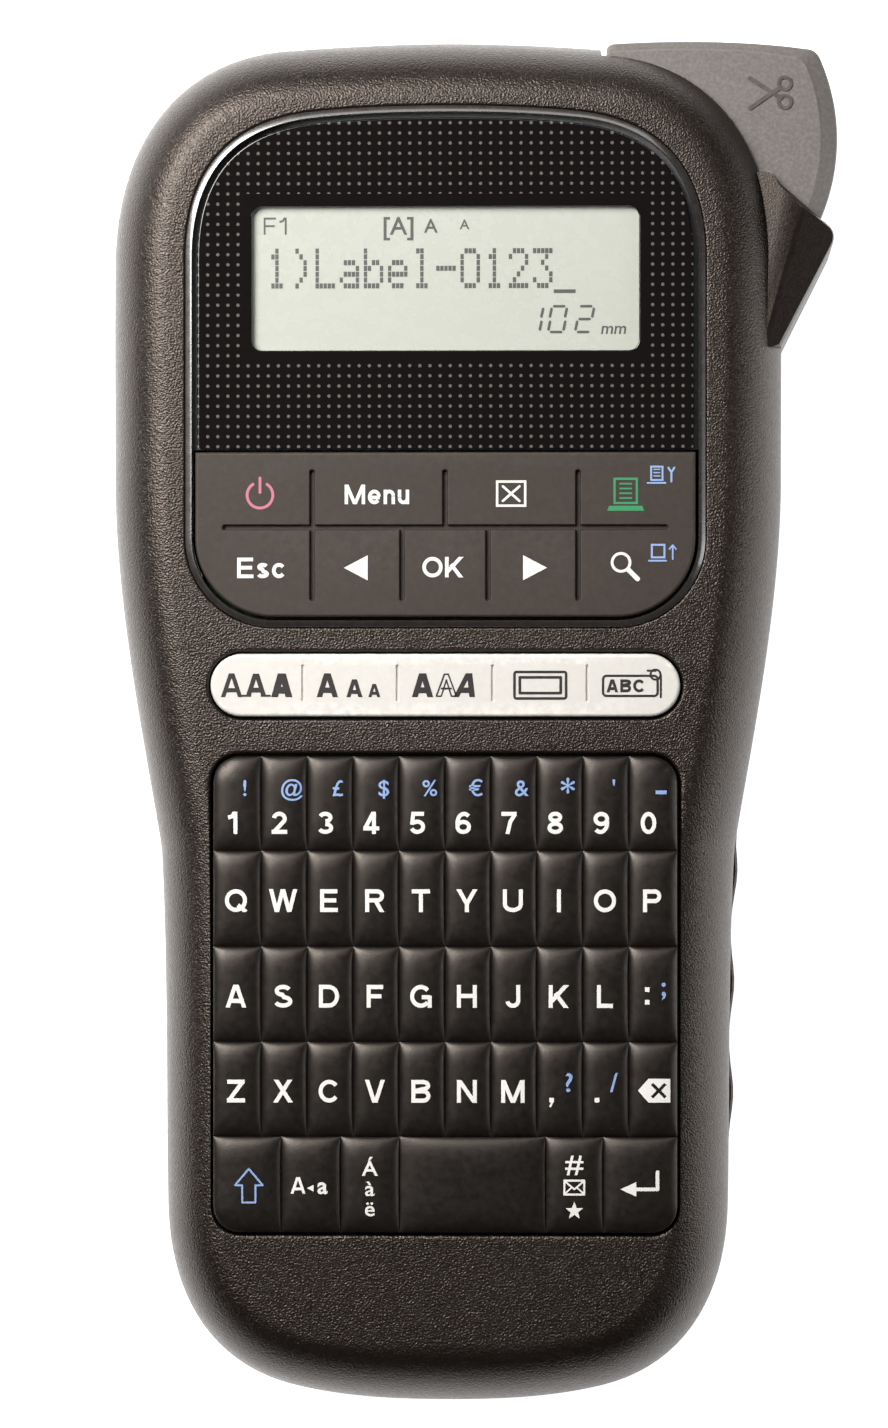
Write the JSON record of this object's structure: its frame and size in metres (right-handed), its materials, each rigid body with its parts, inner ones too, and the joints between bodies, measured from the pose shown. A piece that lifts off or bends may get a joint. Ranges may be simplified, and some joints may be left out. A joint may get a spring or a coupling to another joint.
{
  "type": "label maker",
  "caption": "Handheld label maker with a letter keyboard, control keys, a display window, a corner cutter lever and a lift-off rear cover over cassette and cells.",
  "frame": {"origin": "centre of the bounding box at the flat back that it rests on", "axes": "+Z out of the keyboard face, +Y towards the display end, +X towards the cutter lever"},
  "size_m": [0.1104, 0.2072, 0.058],
  "materials": {
    "case_black": "fine moulded texture",
    "lever_grey": "fine moulded texture, polished bevel",
    "trim_satin": "polished chamfer",
    "lens_black": "gloss with a fine printed dot grid",
    "lcd_glass": "pale reflective display",
    "key_rubber": "satin silicone",
    "key_dark": "matte silicone",
    "key_white": "satin",
    "board_green": "solder mask",
    "inner_plastic": "moulded",
    "pale_plastic": "moulded",
    "steel": "plated",
    "brass": "turned",
    "roller_rubber": "ground",
    "tape_white": "satin film",
    "cell_wrap": "plain wrap"
  },
  "bodies": {
    "case": {"front_case": "case_black", "rear_case": "case_black", "screw_head_left": "steel", "screw_head_right": "steel", "screw_tail_left": "steel", "screw_tail_right": "steel", "console_trim": "trim_satin", "display_window": "lens_black", "lcd_module": "lcd_glass", "keypad_mat": "key_rubber", "cutter_guard": "case_black", "lever_pin": "steel", "lever_spring": "steel", "print_chassis": "inner_plastic", "thermal_head": "steel", "motor": "steel", "cassette_case": "inner_plastic", "battery_1": "cell_wrap", "battery_2": "cell_wrap", "battery_3": "cell_wrap", "battery_4": "cell_wrap", "battery_5": "cell_wrap", "battery_6": "cell_wrap", "battery_tray": "inner_plastic", "battery_contacts_head": "steel", "battery_contacts_tail": "steel", "main_board": "board_green", "power_inlet": "roller_rubber"},
    "key_power": {"key_power": "key_dark"},
    "key_menu": {"key_menu": "key_dark"},
    "key_cancel": {"key_cancel": "key_dark"},
    "key_print": {"key_print": "key_dark"},
    "key_escape": {"key_escape": "key_dark"},
    "key_left": {"key_left": "key_dark"},
    "key_ok": {"key_ok": "key_dark"},
    "key_right": {"key_right": "key_dark"},
    "key_preview": {"key_preview": "key_dark"},
    "key_font": {"key_font": "key_white"},
    "key_size": {"key_size": "key_white"},
    "key_style": {"key_style": "key_white"},
    "key_frame": {"key_frame": "key_white"},
    "key_label": {"key_label": "key_white"},
    "key_shift": {"key_shift": "key_rubber"},
    "key_caps": {"key_caps": "key_rubber"},
    "key_accent": {"key_accent": "key_rubber"},
    "key_space": {"key_space": "key_rubber"},
    "key_symbol": {"key_symbol": "key_rubber"},
    "key_enter": {"key_enter": "key_rubber"},
    "cutter_lever": {"cutter_lever": "lever_grey"},
    "cutter_blade": {"cutter_blade": "steel"},
    "rear_lid": {"rear_lid": "case_black"},
    "tape_roll": {"tape_roll": "tape_white"},
    "ribbon_supply": {"ribbon_supply_spool": "roller_rubber"},
    "takeup": {"takeup_drive": "pale_plastic", "ribbon_takeup_spool": "roller_rubber"},
    "platen": {"platen_roller": "roller_rubber", "platen_gear": "pale_plastic"},
    "idler": {"idler_gear": "pale_plastic"},
    "motor_rotor": {"motor_pinion": "brass"}
  },
  "joints": [
    {"name": "key_power_press", "type": "slide", "parent": "case", "child": "key_power", "axis": [0, 0, -1], "range_m": [0, 0.0008], "stiffness_N_per_m": 500},
    {"name": "key_menu_press", "type": "slide", "parent": "case", "child": "key_menu", "axis": [0, 0, -1], "range_m": [0, 0.0008], "stiffness_N_per_m": 500},
    {"name": "key_cancel_press", "type": "slide", "parent": "case", "child": "key_cancel", "axis": [0, 0, -1], "range_m": [0, 0.0008], "stiffness_N_per_m": 500},
    {"name": "key_print_press", "type": "slide", "parent": "case", "child": "key_print", "axis": [0, 0, -1], "range_m": [0, 0.0008], "stiffness_N_per_m": 500},
    {"name": "key_escape_press", "type": "slide", "parent": "case", "child": "key_escape", "axis": [0, 0, -1], "range_m": [0, 0.0008], "stiffness_N_per_m": 500},
    {"name": "key_left_press", "type": "slide", "parent": "case", "child": "key_left", "axis": [0, 0, -1], "range_m": [0, 0.0008], "stiffness_N_per_m": 500},
    {"name": "key_ok_press", "type": "slide", "parent": "case", "child": "key_ok", "axis": [0, 0, -1], "range_m": [0, 0.0008], "stiffness_N_per_m": 500},
    {"name": "key_right_press", "type": "slide", "parent": "case", "child": "key_right", "axis": [0, 0, -1], "range_m": [0, 0.0008], "stiffness_N_per_m": 500},
    {"name": "key_preview_press", "type": "slide", "parent": "case", "child": "key_preview", "axis": [0, 0, -1], "range_m": [0, 0.0008], "stiffness_N_per_m": 500},
    {"name": "key_font_press", "type": "slide", "parent": "case", "child": "key_font", "axis": [0, 0, -1], "range_m": [0, 0.0008], "stiffness_N_per_m": 500},
    {"name": "key_size_press", "type": "slide", "parent": "case", "child": "key_size", "axis": [0, 0, -1], "range_m": [0, 0.0008], "stiffness_N_per_m": 500},
    {"name": "key_style_press", "type": "slide", "parent": "case", "child": "key_style", "axis": [0, 0, -1], "range_m": [0, 0.0008], "stiffness_N_per_m": 500},
    {"name": "key_frame_press", "type": "slide", "parent": "case", "child": "key_frame", "axis": [0, 0, -1], "range_m": [0, 0.0008], "stiffness_N_per_m": 500},
    {"name": "key_label_press", "type": "slide", "parent": "case", "child": "key_label", "axis": [0, 0, -1], "range_m": [0, 0.0008], "stiffness_N_per_m": 500},
    {"name": "key_shift_press", "type": "slide", "parent": "case", "child": "key_shift", "axis": [0, 0, -1], "range_m": [0, 0.001], "stiffness_N_per_m": 500},
    {"name": "key_caps_press", "type": "slide", "parent": "case", "child": "key_caps", "axis": [0, 0, -1], "range_m": [0, 0.001], "stiffness_N_per_m": 500},
    {"name": "key_accent_press", "type": "slide", "parent": "case", "child": "key_accent", "axis": [0, 0, -1], "range_m": [0, 0.001], "stiffness_N_per_m": 500},
    {"name": "key_space_press", "type": "slide", "parent": "case", "child": "key_space", "axis": [0, 0, -1], "range_m": [0, 0.001], "stiffness_N_per_m": 500},
    {"name": "key_symbol_press", "type": "slide", "parent": "case", "child": "key_symbol", "axis": [0, 0, -1], "range_m": [0, 0.001], "stiffness_N_per_m": 500},
    {"name": "key_enter_press", "type": "slide", "parent": "case", "child": "key_enter", "axis": [0, 0, -1], "range_m": [0, 0.001], "stiffness_N_per_m": 500},
    {"name": "lever_press", "type": "hinge", "parent": "case", "child": "cutter_lever", "pos_m": [0.02437, 0.08855, 0.038], "axis": [0, 0, -1], "range_deg": [0, 12], "stiffness_Nm_per_rad": 0.4},
    {"name": "blade_slide", "type": "slide", "parent": "case", "child": "cutter_blade", "axis": [0, -1, 0], "range_m": [0, 0.0035]},
    {"name": "lid_lift", "type": "slide", "parent": "case", "child": "rear_lid", "axis": [0, 0, -1], "range_m": [0, 0.03]},
    {"name": "tape_spin", "type": "hinge", "parent": "case", "child": "tape_roll", "pos_m": [-0.01823, 0.06165, 0.016], "axis": [0, 0, 1], "continuous": true},
    {"name": "platen_spin", "type": "hinge", "parent": "case", "child": "platen", "pos_m": [0.03327, 0.07705, 0.017], "axis": [0, 0, 1], "continuous": true},
    {"name": "idler_spin", "type": "hinge", "parent": "case", "child": "idler", "pos_m": [0.01788, 0.06852, 0.032], "axis": [0, 0, 1], "continuous": true},
    {"name": "motor_spin", "type": "hinge", "parent": "case", "child": "motor_rotor", "pos_m": [0.00284, 0.06305, 0.032], "axis": [0, 0, 1], "continuous": true},
    {"name": "takeup_spin", "type": "hinge", "parent": "case", "child": "takeup", "pos_m": [0.01104, 0.04972, 0.02], "axis": [0, 0, 1], "continuous": true},
    {"name": "ribbon_spin", "type": "hinge", "parent": "case", "child": "ribbon_supply", "pos_m": [0.00977, 0.07165, 0.016], "axis": [0, 0, 1], "continuous": true}
  ],
  "couplings": [
    {"joint": "blade_slide", "follows": "lever_press", "m_per_rad": 0.016234},
    {"joint": "platen_spin", "follows": "tape_spin", "ratio": -5.3125},
    {"joint": "idler_spin", "follows": "tape_spin", "ratio": 2.4792},
    {"joint": "motor_spin", "follows": "tape_spin", "ratio": -7.4375},
    {"joint": "takeup_spin", "follows": "tape_spin", "ratio": -3.7188},
    {"joint": "ribbon_spin", "follows": "tape_spin", "ratio": 2.2}
  ]
}
